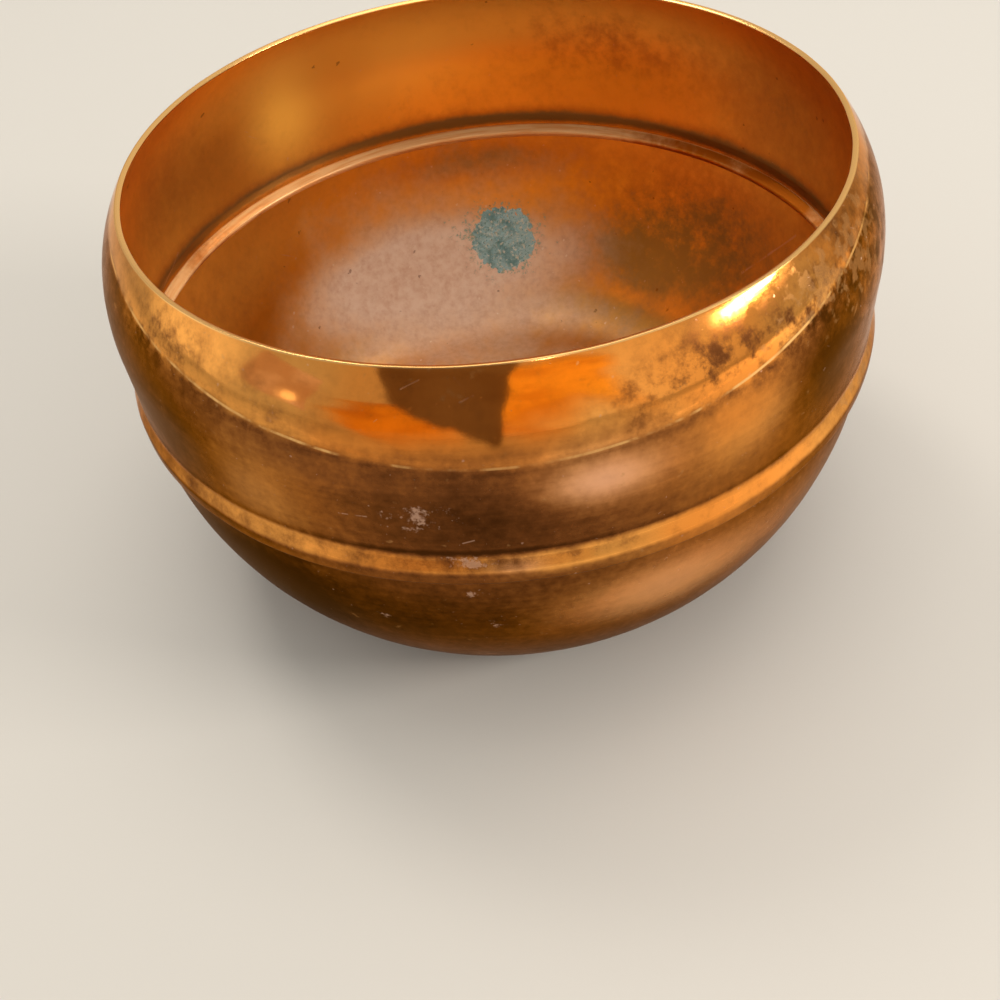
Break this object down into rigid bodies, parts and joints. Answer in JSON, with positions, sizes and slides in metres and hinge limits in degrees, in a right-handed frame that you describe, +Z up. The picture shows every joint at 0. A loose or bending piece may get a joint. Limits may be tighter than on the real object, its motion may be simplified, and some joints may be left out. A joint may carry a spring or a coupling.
{
  "type": "offering bowl",
  "caption": "Round copper bowl with a flat base, rounded side, raised brazed lap seam, upright wall and a polished shoulder turning in to a thin rim; holds water, grain or flowers.",
  "frame": {"origin": "middle of the flat base, on the surface it stands on", "axes": "+Z up along the bowl's own axis; the bowl is round, so +X and +Y are any two directions square to it, with the picture taken from the -Y side"},
  "size_m": [0.1412, 0.1412, 0.08],
  "materials": {
    "wall_copper": "polished copper, lightly tarnished and scratched",
    "bowl_copper": "worn copper with brown oxide, scuffs and a spot of verdigris inside",
    "braze_alloy": "wiped braze, rubbed bright"
  },
  "bodies": {
    "root": {"upper_wall": "wall_copper", "lower_bowl": "bowl_copper", "seam_braze": "braze_alloy"}
  },
  "joints": []
}
